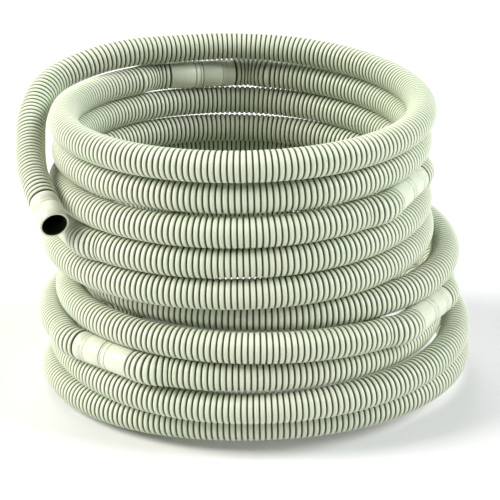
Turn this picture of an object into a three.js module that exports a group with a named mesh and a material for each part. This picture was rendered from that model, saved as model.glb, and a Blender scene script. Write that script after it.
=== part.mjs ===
import * as THREE from "three";

// A swimming-pool vacuum hose, wound into a free-standing coil: eight sections of ribbed hose that meet
// cuff to cuff, a beaded cuff against a plain one.
// Millimetres, +Z up, origin on the floor under the middle of the whole outline.

// Hose and cuffs
const boreDiameter = 38;
const ribDepth = 4;
const cuffWall = 3.3;
const ringHeight = 0.5;
const ringSlope = 1;
const beadedCuffLength = 58;
const beadZone = { start: 33, end: 43 }; // a beaded cuff's two beads, from where it meets its neighbour
const plainCuffLength = 57;
const ringZone = { start: 1, end: 13 }; // a plain cuff's two rings
const meetingGap = 0.4; // left between pieces that touch
const crestDiameter = boreDiameter + 2 * ribDepth;
const cuffDiameter = boreDiameter + 2 * cuffWall;
const ringDiameter = cuffDiameter + 2 * ringHeight;

// Coil
const coilRadius = 280; // to the hose's centreline
const turnGap = 0.8; // between stacked turns
const turnSpacing = Math.max(crestDiameter, ringDiameter) + turnGap;
const sides = 10;
const stepAngle = 18;
const cuffInset = 3; // how far a straight cuff sits inside the round of the coil
const cuffRunout = 4; // straight hose past a cuff
const straightReach = Math.max(beadedCuffLength, plainCuffLength) + cuffRunout;

// Free end
const swingAngle = 40; // where the free end leaves the top of the coil
const liftAngle = 8; // where its last stretch bends

// The route is given by angle, in degrees from the coil's left side and clockwise seen from above, with
// its outward offset from coilRadius and its height over the floor, both in turn spacings.
// The free end hangs outside the coil: [angle, outward, height].
const freeEnd = [
  [-35, 1.5, 6.44],
  [-27, 1.26, 6.81],
  [-15, 1.22, 7.22],
  [-1, 1.25, 7.75],
  [9, 1.4, 8.3],
  [18, 1.45, 8.8],
  [26, 1.35, 9.1],
  [38, 0.84, 9.42],
  [50, 0.42, 9.54],
  [66, 0.15, 9.5],
];

// The coil, from the top at its back: [outward, height] at the back, right, front and left of each turn.
const turns = [
  [[0.05, 9.46], [-0.25, 9.08], [0, 8.97], [0.13, 8.69]],
  [[0.3, 8.38], [-0.35, 8.08], [-0.15, 7.93], [0.05, 7.67]],
  [[0.3, 7.37], [-0.38, 7.07], [0.1, 6.9], [0.2, 6.63]],
  [[0.1, 6.38], [-0.3, 6.08], [0.1, 5.91], [0.45, 5.63]],
  [[0.7, 5.57], [-0.2, 5.03], [0.2, 4.92], [0.5, 4.63]],
  [[0.65, 4.58], [0.72, 4.08], [-0.3, 3.95], [-0.35, 4.03]],
  [[-0.05, 3.86], [0.6, 3.0], [0.6, 3.26], [0.05, 3.03]],
  [[-0.1, 2.85], [0.15, 2.12], [0.5, 2.27], [0.7, 2.1]],
  [[0.35, 1.9], [1.15, 1.57], [0.65, 1.21], [0.35, 1.15]],
  [[0.5, 0.85], [1.2, 0.53], [0.05, 0.33], [0.65, 0]],
  [[-0.3, 0], [-0.1, 0]],
];

// The angles of the mouth, of the seven places where two sections meet, and of the far end.
const meetings = [-35, 434, 927, 1419, 1886, 2368, 2833, 3284, 3743];
const sectionCount = meetings.length - 1;
const turnedJoints = [2, 5]; // where the beaded cuff comes first

const knots = [
  ...freeEnd.map(([angle, outward, height]) => ({ angle, outward, height })),
  ...turns.flat().map(([outward, height], i) => ({ angle: 90 + 90 * i, outward, height })),
];

const radians = THREE.MathUtils.degToRad;

// A cubic through a and b with the slopes given at them.
function cubic(a, b, slopeA, slopeB, t) {
  const rise = b - a;
  return a + t * (slopeA + t * (3 * rise - 2 * slopeA - slopeB + t * (slopeA + slopeB - 2 * rise)));
}

// The slope of a knot's value over the angle, from its two neighbours.
function slopeAt(i, key) {
  const before = knots[Math.max(i - 1, 0)];
  const after = knots[Math.min(i + 1, knots.length - 1)];
  return (after[key] - before[key]) / (after.angle - before.angle);
}

function valueAt(angle, key) {
  const i = THREE.MathUtils.clamp(knots.findIndex((k) => k.angle > angle), 1, knots.length - 1) - 1;
  const span = knots[i + 1].angle - knots[i].angle;
  const t = (angle - knots[i].angle) / span;
  return cubic(knots[i][key], knots[i + 1][key], span * slopeAt(i, key), span * slopeAt(i + 1, key), t);
}

function pointAt(angle, radius, height) {
  const a = radians(angle);
  return new THREE.Vector3(-radius * Math.cos(a), radius * Math.sin(a), height);
}

function coilPoint(angle, extraRadius = 0) {
  const radius = coilRadius + turnSpacing * valueAt(angle, "outward") + extraRadius;
  return pointAt(angle, radius, crestDiameter / 2 + turnSpacing * valueAt(angle, "height"));
}

function coilDirection(angle) {
  return coilPoint(angle + 0.5).sub(coilPoint(angle - 0.5)).normalize();
}

// The straight line through a cuff, which its hose joins over another cuff's length.
const cuffLines = meetings.map((angle) => ({
  angle,
  middle: coilPoint(angle, -cuffInset),
  direction: coilDirection(angle),
  perDegree: coilPoint(angle - 0.5).distanceTo(coilPoint(angle + 0.5)),
}));

function route(angle) {
  const point = coilPoint(angle);
  for (const line of cuffLines) {
    const distance = (angle - line.angle) * line.perDegree;
    const size = Math.abs(distance);
    if (size < 2 * straightReach) {
      const straight = line.middle.clone().addScaledVector(line.direction, distance);
      const weight = 1 - THREE.MathUtils.smoothstep(size, straightReach, 2 * straightReach);
      return point.lerp(straight, weight);
    }
  }
  return point;
}

function directionAt(angle) {
  return route(angle + 0.2).sub(route(angle - 0.2)).normalize();
}

// The angle at a distance along a cuff's line from where it meets its neighbour.
function along(index, distance) {
  return meetings[index] + distance / cuffLines[index].perDegree;
}

// A stretch of the route, stepping at the same angles on every turn so that stacked turns stay parallel.
class Stretch extends THREE.Curve {
  constructor(start, end) {
    super();
    const first = Math.ceil(start / stepAngle + 0.25);
    const last = Math.floor(end / stepAngle - 0.25);
    this.angles = [start];
    for (let i = first; i <= last; i += 1) this.angles.push(i * stepAngle);
    this.angles.push(end);
  }

  get steps() {
    return this.angles.length - 1;
  }

  getPointAt(u, target = new THREE.Vector3()) {
    return target.copy(route(this.angles[Math.round(u * this.steps)]));
  }

  getTangentAt(u, target = new THREE.Vector3()) {
    return target.copy(directionAt(this.angles[Math.round(u * this.steps)]));
  }
}

const ribbedPlastic = { color: 0xccd5b8, roughness: 0.45, metalness: 0 };
const cuffPlastic = { color: 0xdfe3cf, roughness: 0.4, metalness: 0 };

function named(name, geometry, finish) {
  const mesh = new THREE.Mesh(geometry, new THREE.MeshStandardMaterial(finish));
  mesh.name = name;
  return mesh;
}

function polygon(PathType, diameter) {
  const path = new PathType();
  for (let i = 0; i < sides; i += 1) {
    const a = (2 * Math.PI * (i + 0.5)) / sides;
    const x = (diameter / 2) * Math.cos(a);
    const y = (diameter / 2) * Math.sin(a);
    if (i === 0) path.moveTo(x, y);
    else path.lineTo(x, y);
  }
  path.closePath();
  return path;
}

// A plain tube over the ribs and through the bore, between two angles of the route.
function hose(name, start, end) {
  const section = polygon(THREE.Shape, crestDiameter);
  section.holes.push(polygon(THREE.Path, boreDiameter));
  const stretch = new Stretch(start, end);
  const settings = { extrudePath: stretch, steps: stretch.steps, curveSegments: 1 };
  return named(name, new THREE.ExtrudeGeometry(section, settings), ribbedPlastic);
}

// A cuff turned about +Y, standing on the end that meets its neighbour, with its raised zone as one ring.
function cuff(name, length, zone) {
  const bore = boreDiameter / 2;
  const skin = cuffDiameter / 2;
  const ring = ringDiameter / 2;
  const profile = [
    [bore, 0],
    [skin, 0],
    [skin, zone.start],
    [ring, zone.start + ringSlope],
    [ring, zone.end - ringSlope],
    [skin, zone.end],
    [skin, length],
    [bore, length],
    [bore, 0],
  ].map(([x, y]) => new THREE.Vector2(x, y));
  return named(name, new THREE.LatheGeometry(profile, sides), cuffPlastic);
}

// The cuffs at one place, as a straight group along the route. The mouth has a beaded cuff alone and the
// far end a plain one. Elsewhere the beaded cuff comes after the plain one, or before it if turned.
function cuffsAt(index) {
  const group = new THREE.Group();
  const turned = turnedJoints.includes(index);
  const facing = turned ? -1 : 1;
  const line = cuffLines[index];
  group.position.copy(line.middle);
  group.quaternion.setFromUnitVectors(new THREE.Vector3(0, facing, 0), line.direction);
  const first = index === 0;
  const last = index === sectionCount;
  if (!last) {
    const beaded = cuff(first ? "mouth_cuff" : `joint_${index}_beaded_cuff`, beadedCuffLength, beadZone);
    beaded.position.y = meetingGap / 2;
    group.add(beaded);
  }
  if (!first) {
    const plain = cuff(last ? "far_end_cuff" : `joint_${index}_plain_cuff`, plainCuffLength, ringZone);
    plain.rotation.x = Math.PI;
    plain.position.y = -meetingGap / 2;
    group.add(plain);
  }
  return group;
}

// The hose between two meetings. The first one is three pieces, which the free end's two bends part.
function hosesOf(index) {
  const startCuff = turnedJoints.includes(index) ? plainCuffLength : beadedCuffLength;
  const endCuff = turnedJoints.includes(index + 1) ? beadedCuffLength : plainCuffLength;
  const start = along(index, startCuff + 1.5 * meetingGap);
  const end = along(index + 1, -endCuff - 1.5 * meetingGap);
  if (index > 0) return [hose(`hose_${index + 1}`, start, end)];
  const half = meetingGap / 2 / cuffLines[0].perDegree;
  return [
    hose("hose_1_mouth", start, liftAngle - half),
    hose("hose_1_tail", liftAngle + half, swingAngle - half),
    hose("hose_1_coil", swingAngle + half, end),
  ];
}

const coil = new THREE.Group();
for (let i = 0; i <= sectionCount; i += 1) coil.add(cuffsAt(i));
for (let i = 0; i < sectionCount; i += 1) coil.add(...hosesOf(i));

// Stand the coil on the floor with its outline centred on the origin.
const outline = new THREE.Box3().setFromObject(coil, true);
const middle = outline.getCenter(new THREE.Vector3());
coil.position.set(-middle.x, -middle.y, -outline.min.z);

const part = new THREE.Group();
part.add(coil);
part.updateMatrixWorld(true);

export default part;
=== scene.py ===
import math

import bpy
import numpy as np
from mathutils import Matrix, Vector


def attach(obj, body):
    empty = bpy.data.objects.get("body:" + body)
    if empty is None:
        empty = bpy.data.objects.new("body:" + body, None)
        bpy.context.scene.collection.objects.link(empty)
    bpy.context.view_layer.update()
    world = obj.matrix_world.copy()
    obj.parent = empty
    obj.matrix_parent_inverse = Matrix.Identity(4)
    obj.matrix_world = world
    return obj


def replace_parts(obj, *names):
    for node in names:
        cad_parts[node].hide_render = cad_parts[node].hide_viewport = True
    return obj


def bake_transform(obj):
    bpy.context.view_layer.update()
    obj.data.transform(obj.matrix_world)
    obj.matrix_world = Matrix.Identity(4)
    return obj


# Looks for a pool vacuum hose wound into a free-standing coil: eight ribbed sections that meet in
# smooth cuffs. Sizes are in millimetres until a mesh is made, and the route is the CAD model's own.

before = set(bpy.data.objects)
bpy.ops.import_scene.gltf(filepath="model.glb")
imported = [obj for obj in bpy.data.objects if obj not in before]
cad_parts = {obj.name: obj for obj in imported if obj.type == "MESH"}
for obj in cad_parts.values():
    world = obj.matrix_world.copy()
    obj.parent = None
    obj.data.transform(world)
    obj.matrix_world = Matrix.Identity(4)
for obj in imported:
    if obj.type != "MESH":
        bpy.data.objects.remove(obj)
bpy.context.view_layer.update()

MM = 0.001  # metres in a millimetre

# Hose and cuffs, as in the CAD model
BORE = 38
CREST = 46
BEADED_CUFF = 58
PLAIN_CUFF = 57
MEETING_GAP = 0.4
MOUTH_CORNERS = [0, 0, 33, 34, 42, 43, BEADED_CUFF, BEADED_CUFF]  # the CAD cuff's profile, along it

# Coil, as in the CAD model
COIL_RADIUS = 280  # to the hose's centreline
TURN_GAP = 0.8
TURN_SPACING = CREST + TURN_GAP
CUFF_INSET = 3  # how far a straight cuff sits inside the round of the coil
CUFF_RUNOUT = 4  # straight hose past a cuff
STRAIGHT_REACH = BEADED_CUFF + CUFF_RUNOUT

# Fine surface
RIB_PITCH = 8.5
RIB_SIDES = 34
LINING_STEP = 20  # between the rings of the smooth inner wall
CUFF_RADIUS = 22.3  # of a cuff's plain skin
CUFF_SIDES = 72
SEAM = 0.05  # between a hose's end and its cuff
POINTS_PER_DEGREE = 4  # of the centreline
FEWEST_POINTS = 8

# Where the free end bends, in degrees of the route
SWING_BEND = (56, 24)
LIFT_BEND = (20, -4)
COIL_END = 74  # where the free end's ribs leave those of the coil
TAIL_END = 22  # where the ribs between the two bends end

# The route, in turn spacings at an angle in degrees from the coil's left side, clockwise from above:
# [angle, outward, height] of the free end
FREE_END = [
    [-35, 1.5, 6.44],
    [-27, 1.26, 6.81],
    [-15, 1.22, 7.22],
    [-1, 1.25, 7.75],
    [9, 1.4, 8.3],
    [18, 1.45, 8.8],
    [26, 1.35, 9.1],
    [38, 0.84, 9.42],
    [50, 0.42, 9.54],
    [66, 0.15, 9.5],
]

# and [outward, height] at the back, right, front and left of each turn
TURNS = [
    [[0.05, 9.46], [-0.25, 9.08], [0, 8.97], [0.13, 8.69]],
    [[0.3, 8.38], [-0.35, 8.08], [-0.15, 7.93], [0.05, 7.67]],
    [[0.3, 7.37], [-0.38, 7.07], [0.1, 6.9], [0.2, 6.63]],
    [[0.1, 6.38], [-0.3, 6.08], [0.1, 5.91], [0.45, 5.63]],
    [[0.7, 5.57], [-0.2, 5.03], [0.2, 4.92], [0.5, 4.63]],
    [[0.65, 4.58], [0.72, 4.08], [-0.3, 3.95], [-0.35, 4.03]],
    [[-0.05, 3.86], [0.6, 3.0], [0.6, 3.26], [0.05, 3.03]],
    [[-0.1, 2.85], [0.15, 2.12], [0.5, 2.27], [0.7, 2.1]],
    [[0.35, 1.9], [1.15, 1.57], [0.65, 1.21], [0.35, 1.15]],
    [[0.5, 0.85], [1.2, 0.53], [0.05, 0.33], [0.65, 0]],
    [[-0.3, 0], [-0.1, 0]],
]

# The angles of the mouth, of the seven places where two sections meet, and of the far end
MEETINGS = [-35, 434, 927, 1419, 1886, 2368, 2833, 3284, 3743]
SECTIONS = len(MEETINGS) - 1
TURNED_JOINTS = [2, 5]  # where the beaded cuff comes first

turn_knots = [[90 + 90 * i, *knot] for i, knot in enumerate(sum(TURNS, []))]
knots = np.array(FREE_END + turn_knots, float)
before = knots[np.maximum(np.arange(len(knots)) - 1, 0)]
after = knots[np.minimum(np.arange(len(knots)) + 1, len(knots) - 1)]
slopes = (after - before) / (after[:, :1] - before[:, :1])


def value_at(angles, column):
    """A knot's value between the knots, on cubics that keep each knot's slope."""
    i = np.clip(np.searchsorted(knots[:, 0], angles, side="right"), 1, len(knots) - 1) - 1
    span = knots[i + 1, 0] - knots[i, 0]
    t = (angles - knots[i, 0]) / span
    a, b = knots[i, column], knots[i + 1, column]
    slope_a, slope_b = span * slopes[i, column], span * slopes[i + 1, column]
    rise = b - a
    return a + t * (slope_a + t * (3 * rise - 2 * slope_a - slope_b + t * (slope_a + slope_b - 2 * rise)))


def coil_points(angles, extra_radius=0):
    angles = np.atleast_1d(np.asarray(angles, float))
    radius = COIL_RADIUS + TURN_SPACING * value_at(angles, 1) + extra_radius
    height = CREST / 2 + TURN_SPACING * value_at(angles, 2)
    turn = np.radians(angles)
    return np.stack([-radius * np.cos(turn), radius * np.sin(turn), height], axis=1)


def unit(vectors):
    return vectors / np.linalg.norm(vectors, axis=-1, keepdims=True)


def cuff_line(angle):
    """The straight line through a cuff: its middle, its direction and its length per degree."""
    ends = coil_points([angle - 0.5, angle + 0.5])
    step = ends[1] - ends[0]
    return coil_points(angle, -CUFF_INSET)[0], unit(step), float(np.linalg.norm(step))


cuff_lines = [cuff_line(angle) for angle in MEETINGS]


def smoothstep(x, low, high):
    t = np.clip((x - low) / (high - low), 0, 1)
    return t * t * (3 - 2 * t)


def route(angles):
    """The hose's centreline: the coil, drawn onto each cuff's straight line near it."""
    angles = np.asarray(angles, float)
    points = coil_points(angles)
    for meeting, (middle, direction, per_degree) in zip(MEETINGS, cuff_lines):
        distance = (angles - meeting) * per_degree
        weight = 1 - smoothstep(np.abs(distance), STRAIGHT_REACH, 2 * STRAIGHT_REACH)
        straight = middle + distance[:, None] * direction
        points += weight[:, None] * (straight - points)
    return points


def along(index, distance):
    """The angle at a distance along a cuff's line from where it meets its neighbour."""
    return MEETINGS[index] + distance / cuff_lines[index][2]


def centring():
    """What to add to the route to place it in the frame, from where the mouth's CAD cuff lies."""
    corners = np.array([v.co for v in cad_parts["mouth_cuff"].data.vertices], float)
    corners = np.unique(np.round(corners / MM, 3), axis=0)  # each once, though the mesh may repeat it
    middle, direction, _ = cuff_lines[0]
    offset = corners.mean(axis=0) - middle
    return offset - (MEETING_GAP / 2 + np.mean(MOUTH_CORNERS)) * direction


coil_centre = centring()


class Path:
    """A stretch of the route that can be read by the distance along it."""

    def __init__(self, start, end):
        count = max(FEWEST_POINTS, round(abs(end - start) * POINTS_PER_DEGREE))
        angles = np.linspace(start, end, count)
        self.points = route(angles) + coil_centre
        steps = np.linalg.norm(np.diff(self.points, axis=0), axis=1)
        self.distances = np.concatenate([[0], np.cumsum(steps)])
        self.tangents = unit(np.gradient(self.points, axis=0))
        self.length = float(self.distances[-1])

    def read(self, values, at):
        return np.stack([np.interp(at, self.distances, values[:, k]) for k in range(3)], axis=1)

    def frames(self, at):
        """The centres at some distances, and the directions to the side and up across the hose."""
        centres = self.read(self.points, at)
        directions = unit(self.read(self.tangents, at))
        sides = unit(np.cross(directions, [0, 0, 1]))
        return centres, sides, np.cross(sides, directions)


def link(thing):
    bpy.context.scene.collection.objects.link(thing)
    return thing


def ring_mesh(name, frames, radii, shades, count):
    """A closed mesh through rings about a line, whose last ring joins the first."""
    centres, sides, ups = frames
    angle = 2 * math.pi * np.arange(count) / count
    around = sides[:, None] * np.cos(angle)[None, :, None] + ups[:, None] * np.sin(angle)[None, :, None]
    points = (centres[:, None] + around * np.asarray(radii)[:, None, None]) * MM
    rings = len(centres)
    ring, corner = np.meshgrid(np.arange(rings), np.arange(count), indexing="ij")
    next_ring, next_corner = (ring + 1) % rings, (corner + 1) % count
    quads = np.stack(
        [
            ring * count + corner,
            ring * count + next_corner,
            next_ring * count + next_corner,
            next_ring * count + corner,
        ],
        axis=-1,
    ).reshape(-1, 4)
    mesh = bpy.data.meshes.new(name)
    mesh.vertices.add(rings * count)
    mesh.vertices.foreach_set("co", points.astype(np.float32).ravel())
    mesh.loops.add(quads.size)
    mesh.loops.foreach_set("vertex_index", quads.astype(np.int32).ravel())
    mesh.polygons.add(len(quads))
    mesh.polygons.foreach_set("loop_start", np.arange(0, quads.size, 4, dtype=np.int32))
    mesh.polygons.foreach_set("use_smooth", np.ones(len(quads), bool))
    mesh.update(calc_edges=True)
    # How much painted shade darkens each ring, for the material to use.
    shade = mesh.attributes.new("shade", "FLOAT", "POINT")
    shade.data.foreach_set("value", np.repeat(shades, count).astype(np.float32))
    return link(bpy.data.objects.new(name, mesh))


# One rib from groove to groove: [share of the pitch, radius, painted shade]. Its crest is rounded with a
# slight dish, and its groove is deep and narrow. Painted shade blackens the groove and dims the dish.
RIB = [
    [0, 20.8, 1],
    [0.09, 20.9, 0.95],
    [0.14, 21.9, 0.6],
    [0.21, 22.7, 0.15],
    [0.31, 23.15, 0],
    [0.5, 22.9, 0.1],
    [0.69, 23.15, 0],
    [0.79, 22.7, 0.15],
    [0.86, 21.9, 0.6],
    [0.91, 20.9, 0.95],
]
# Painted shade of the bore: the smooth inner wall is coloured as dark as the painted shade in the
# grooves.
LINING_SHADE = 1  # as dark as the grooves


def ribbed_tube(name, path, first, last, count):
    """The ribs from first to last of the count that fill a path, and the smooth wall inside them."""
    pitch = path.length / count
    rib = np.array(RIB)
    shares = np.concatenate([i + rib[:, 0] for i in range(first, last)] + [[last]])
    outer = np.concatenate([np.tile(rib[:, 1], last - first), rib[:1, 1]])
    outer_shade = np.concatenate([np.tile(rib[:, 2], last - first), rib[:1, 2]])
    steps = max(2, round((last - first) * pitch / LINING_STEP))
    lining = np.linspace(last, first, steps + 1)
    at = np.concatenate([shares, lining]) * pitch
    radii = np.concatenate([outer, np.full(len(lining), BORE / 2)])
    # Painted shade along the smooth inner wall, as dark as in the grooves.
    shades = np.concatenate([outer_shade, np.full(len(lining), LINING_SHADE)])
    piece = ring_mesh(name, path.frames(at), radii, shades, RIB_SIDES)
    line = path.frames(np.arange(first, last + 1) * pitch)[0] * MM
    return piece, line


# Cuffs from the end that meets a neighbour to the ribs: [distance, radius, painted shade]. A plain cuff
# has two thin rings at its end, and a beaded one has two faint beads past its middle. Painted shade
# darkens the hollows beside the rings and beads, the meeting edge and the shoulder by the ribs.
PLAIN_PROFILE = [
    [0, BORE / 2, 1],
    [0, 21.2, 0.7],
    [0.5, 21.9, 0.3],
    [1.2, CUFF_RADIUS, 0.1],
    [1.8, 22.9, 0],
    [3.4, 22.9, 0],
    [4.2, 22.1, 0.4],
    [5.2, CUFF_RADIUS, 0],
    [9.2, CUFF_RADIUS, 0],
    [10, 22.9, 0],
    [11.6, 22.9, 0],
    [12.4, 21.9, 0.6],
    [13.2, CUFF_RADIUS, 0],
    [32, 22.35, 0],
    [53.6, CUFF_RADIUS, 0],
    [54.6, 21.9, 0.15],
    [55.4, 20.6, 0.9],
    [PLAIN_CUFF, 20.1, 1],
]
BEADED_EDGE = [
    [0, BORE / 2, 1],
    [0, 21.2, 0.7],
    [0.5, 21.9, 0.3],
    [1.3, 22.25, 0],
]
BEADED_SKIN = [
    [15, CUFF_RADIUS, 0],
    [32.8, CUFF_RADIUS, 0],
    [33.4, 21.9, 0.45],
    [34, 22.4, 0.05],
    [34.6, 22.8, 0],
    [35.6, 22.8, 0],
    [36.3, 22, 0.35],
    [37, 22.35, 0],
    [39, 22.35, 0],
    [39.7, 22, 0.35],
    [40.4, 22.8, 0],
    [41.4, 22.8, 0],
    [42, 22.4, 0.05],
    [42.6, 21.9, 0.45],
    [43.2, CUFF_RADIUS, 0],
    [54.6, CUFF_RADIUS, 0],
    [55.6, 21.9, 0.15],
    [56.4, 20.6, 0.9],
    [BEADED_CUFF, 20.1, 1],
]
# The mouth's cuff has a rounded rim instead of that edge, unshaded up to the bore, where painted shade
# darkens it.
MOUTH_RIM = [
    [2, BORE / 2, 1],
    [0.4, 19.1, 0.9],
    [0, 19.7, 0],
    [0, 21.4, 0],
    [0.5, 22, 0],
]


def cuff(name, index, facing, profile):
    """A cuff at one meeting, facing 1 along the route or -1 back along it."""
    middle, direction, _ = cuff_lines[index]
    # The cuff closes down to the bore, which takes the lining's painted shade.
    closed = np.array(profile + [[profile[-1][0], BORE / 2, LINING_SHADE]])
    distances = facing * (closed[:, 0] + MEETING_GAP / 2)
    centres = middle + coil_centre + distances[:, None] * direction
    side = unit(np.cross(direction * facing, [0, 0, 1]))
    up = np.cross(side, direction * facing)
    frames = (centres, np.tile(side, (len(closed), 1)), np.tile(up, (len(closed), 1)))
    piece = ring_mesh(name + "_shell", frames, closed[:, 1], closed[:, 2], CUFF_SIDES)
    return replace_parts(piece, name)


def noise(nodes, links, coordinates, scale, detail=2.0):
    """The value of a noise texture of that scale."""
    texture = nodes.new("ShaderNodeTexNoise")
    texture.inputs["Scale"].default_value = scale
    texture.inputs["Detail"].default_value = detail
    links.new(coordinates, texture.inputs["Vector"])
    return texture.outputs["Fac"]


def ramp(nodes, links, value, low, high, colour_low, colour_high):
    """A colour that goes from one to the other as the value goes from low to high."""
    made = nodes.new("ShaderNodeValToRGB")
    made.color_ramp.elements[0].position = low
    made.color_ramp.elements[0].color = (*colour_low, 1)
    made.color_ramp.elements[1].position = high
    made.color_ramp.elements[1].color = (*colour_high, 1)
    links.new(value, made.inputs["Fac"])
    return made.outputs["Color"]


def mixed(nodes, links, factor, a, b, blend="MIX"):
    """Colour a turned into colour b by a factor. Each may be a socket or a plain colour."""
    mix = nodes.new("ShaderNodeMix")
    mix.data_type = "RGBA"
    mix.blend_type = blend
    for socket, value in ((mix.inputs["Factor"], factor), (mix.inputs["A"], a), (mix.inputs["B"], b)):
        if isinstance(value, bpy.types.NodeSocket):
            links.new(value, socket)
        elif isinstance(value, (int, float)):
            socket.default_value = value
        else:
            socket.default_value = (*value, 1)
    return mix.outputs["Result"]


# The textures' scales, per metre
PATCH_SCALE = 7  # broad patches of colour
MOTTLE_SCALE = 260
GLOSS_SCALE = 90
GRAIN_SCALE = 700
GRAIN_DEPTH = 0.0004  # in metres
MOTTLE_DARK = (0.93, 0.94, 0.92)
WHITE = (1, 1, 1)


def plastic(name, cool, warm, painted_shade_colour, roughness, grain):
    """Moulded plastic, cooler and warmer in broad patches, finely mottled, with painted shade in its
    grooves and bore.
    """
    material = bpy.data.materials.new(name)
    material.use_nodes = True
    nodes, links = material.node_tree.nodes, material.node_tree.links
    shader = nodes["Principled BSDF"]
    place = nodes.new("ShaderNodeTexCoord").outputs["Object"]
    patches = noise(nodes, links, place, PATCH_SCALE)
    broad = ramp(nodes, links, patches, 0.35, 0.65, cool, warm)
    mottle = noise(nodes, links, place, MOTTLE_SCALE, 4)
    fine = ramp(nodes, links, mottle, 0.3, 0.7, MOTTLE_DARK, WHITE)
    skin = mixed(nodes, links, 1.0, broad, fine, "MULTIPLY")
    # Painted shade: the shade attribute mixes a near-black colour into grooves, ring hollows, edges and
    # the bore.
    shade = nodes.new("ShaderNodeAttribute")
    shade.attribute_name = "shade"
    colour = mixed(nodes, links, shade.outputs["Fac"], skin, painted_shade_colour)
    links.new(colour, shader.inputs["Base Color"])
    rough = nodes.new("ShaderNodeMapRange")
    rough.inputs["To Min"].default_value = roughness - 0.06
    rough.inputs["To Max"].default_value = roughness + 0.08
    links.new(noise(nodes, links, place, GLOSS_SCALE, 3), rough.inputs["Value"])
    links.new(rough.outputs["Result"], shader.inputs["Roughness"])
    bump = nodes.new("ShaderNodeBump")
    bump.inputs["Strength"].default_value = grain
    bump.inputs["Distance"].default_value = GRAIN_DEPTH
    links.new(noise(nodes, links, place, GRAIN_SCALE, 5), bump.inputs["Height"])
    links.new(bump.outputs["Normal"], shader.inputs["Normal"])
    shader.inputs["IOR"].default_value = 1.49
    return material


CAMERA_DISTANCE = 2903  # from the point that it turns about
CAMERA_ELEVATION = math.radians(21.57)
TARGET_HEIGHT = 200  # of that point, over the floor
LENS = 130.8
SENSOR_WIDTH = 36


def make_camera():
    """The photograph's view: a long lens, low over the front."""
    target = coil_centre + [0, 0, TARGET_HEIGHT]
    back = np.array([0, -math.cos(CAMERA_ELEVATION), math.sin(CAMERA_ELEVATION)])
    data = bpy.data.cameras.new("camera")
    data.lens = LENS
    data.sensor_width = SENSOR_WIDTH
    data.shift_x = 0.004
    data.shift_y = 0.0082
    camera = link(bpy.data.objects.new("camera", data))
    camera.location = Vector((target + CAMERA_DISTANCE * back) * MM)
    camera.rotation_euler = (math.pi / 2 - CAMERA_ELEVATION, 0, 0)
    bpy.context.scene.camera = camera


def make_light(name, azimuth, elevation, strength, softness, colour):
    """A wide soft light from far off, at an azimuth from the camera's side, clockwise from above."""
    data = bpy.data.lights.new(name, "SUN")
    data.energy = strength
    data.angle = math.radians(softness)
    data.color = colour
    light = link(bpy.data.objects.new(name, data))
    turn, rise = math.radians(azimuth), math.radians(elevation)
    away = Vector((-math.sin(turn) * math.cos(rise), -math.cos(turn) * math.cos(rise), math.sin(rise)))
    light.rotation_euler = away.to_track_quat("Z", "Y").to_euler()


def make_lights():
    make_light("left", azimuth=82, elevation=38, strength=4.1, softness=34, colour=(1, 0.99, 0.94))
    make_light("right", azimuth=-82, elevation=36, strength=3.2, softness=34, colour=(0.95, 0.98, 1))
    make_light("back", azimuth=165, elevation=48, strength=0.8, softness=30, colour=WHITE)


FLOOR_REACH = 30  # metres from the middle to each side
FLOOR_GREY = 0.78
WORLD_STRENGTH = 0.22


def make_floor():
    reach = FLOOR_REACH
    mesh = bpy.data.meshes.new("floor")
    corners = [(-reach, -reach, 0), (reach, -reach, 0), (reach, reach, 0), (-reach, reach, 0)]
    mesh.from_pydata(corners, [], [(0, 1, 2, 3)])
    floor = link(bpy.data.objects.new("floor", mesh))
    material = bpy.data.materials.new("floor")
    material.use_nodes = True
    shader = material.node_tree.nodes["Principled BSDF"]
    shader.inputs["Base Color"].default_value = (FLOOR_GREY, FLOOR_GREY, FLOOR_GREY, 1)
    shader.inputs["Roughness"].default_value = 0.9
    mesh.materials.append(material)


def make_world():
    world = bpy.data.worlds.new("world")
    world.use_nodes = True
    background = world.node_tree.nodes["Background"]
    background.inputs["Color"].default_value = (*WHITE, 1)
    background.inputs["Strength"].default_value = WORLD_STRENGTH
    bpy.context.scene.world = world


def finish_piece(piece, material):
    piece.data.materials.append(material)


def cuffs_at(index):
    """The cuffs at a meeting, or the one at either end of the hose."""
    facing = -1 if index in TURNED_JOINTS else 1
    if index == 0:
        return [cuff("mouth_cuff", 0, 1, MOUTH_RIM + BEADED_SKIN)]
    if index == SECTIONS:
        return [cuff("far_end_cuff", index, -1, PLAIN_PROFILE)]
    return [
        cuff(f"joint_{index}_plain_cuff", index, -facing, PLAIN_PROFILE),
        cuff(f"joint_{index}_beaded_cuff", index, facing, BEADED_EDGE + BEADED_SKIN),
    ]


def make_cuffs():
    """All the cuffs, as a list for each meeting."""
    cuffs = [cuffs_at(i) for i in range(SECTIONS + 1)]
    for i, group in enumerate(cuffs):
        for piece in group:
            finish_piece(piece, cuff_plastic)
            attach(piece, "mouth_end" if i == 0 else "coil")
    return cuffs


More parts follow.
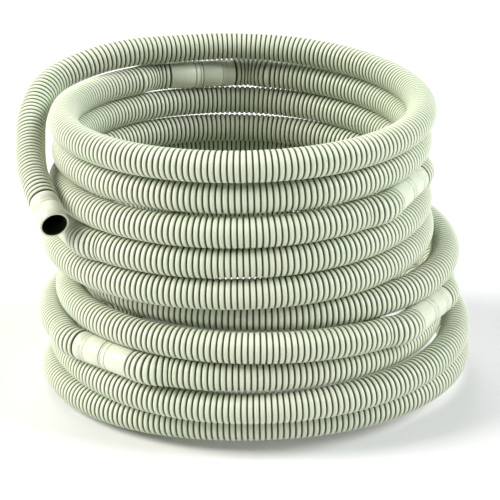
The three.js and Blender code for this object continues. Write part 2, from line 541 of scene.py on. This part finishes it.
def section_path(index):
    """The path of a section's ribs, the angle that it starts at and the number of ribs."""
    start_cuff = PLAIN_CUFF if index in TURNED_JOINTS else BEADED_CUFF
    end_cuff = BEADED_CUFF if index + 1 in TURNED_JOINTS else PLAIN_CUFF
    start = along(index, start_cuff + MEETING_GAP / 2 + SEAM)
    end = along(index + 1, -end_cuff - MEETING_GAP / 2 - SEAM)
    path = Path(start, end)
    return path, start, round(path.length / RIB_PITCH)


def place_of(angle):
    return Vector((route([angle])[0] + coil_centre) * MM)


def make_first_section():
    """The section with the free end, whose ribs part at its two bends and are counted from the mouth."""
    path, start, count = section_path(0)

    def rib_at(angle):
        return round(Path(start, angle).length / path.length * count)

    tail_rib, coil_rib = rib_at(TAIL_END), rib_at(COIL_END)
    mouth_ribs, mouth_line = ribbed_tube("hose_1_mouth_ribs", path, 0, tail_rib, count)
    tail_ribs, tail_line = ribbed_tube("hose_1_tail_ribs", path, tail_rib, coil_rib, count)
    coil_ribs, coil_line = ribbed_tube("hose_1_coil_ribs", path, coil_rib, count, count)
    stretches = {"hose_1_mouth": mouth_ribs, "hose_1_tail": tail_ribs, "hose_1_coil": coil_ribs}
    for node, piece in stretches.items():
        finish_piece(piece, rib_plastic)
        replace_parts(piece, node)
    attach(coil_ribs, "coil")
    place_of(SWING_BEND[0])
    place_of(SWING_BEND[1])
    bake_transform(tail_ribs)
    place_of(LIFT_BEND[0])
    place_of(LIFT_BEND[1])
    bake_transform(mouth_ribs)


def make_section(index):
    path, _, count = section_path(index)
    ribs, line = ribbed_tube(f"hose_{index + 1}_ribs", path, 0, count, count)
    finish_piece(ribs, rib_plastic)
    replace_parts(ribs, f"hose_{index + 1}")
    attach(ribs, "coil")


# Each plastic's painted_shade_colour is the near-black of the painted shade in its grooves, ring hollows
# and bore.
rib_plastic = plastic(
    "rib_plastic",
    cool=(0.64, 0.71, 0.53),
    warm=(0.7, 0.735, 0.575),
    painted_shade_colour=(0.006, 0.012, 0.004),
    roughness=0.42,
    grain=0.25,
)
cuff_plastic = plastic(
    "cuff_plastic",
    cool=(0.63, 0.68, 0.54),
    warm=(0.67, 0.695, 0.565),
    painted_shade_colour=(0.02, 0.03, 0.012),
    roughness=0.38,
    grain=0.12,
)

make_camera()
hose_cuffs = make_cuffs()
make_first_section()
for i in range(1, SECTIONS):
    make_section(i)
make_floor()
make_world()
make_lights()

bpy.context.scene.view_settings.view_transform = "Standard"
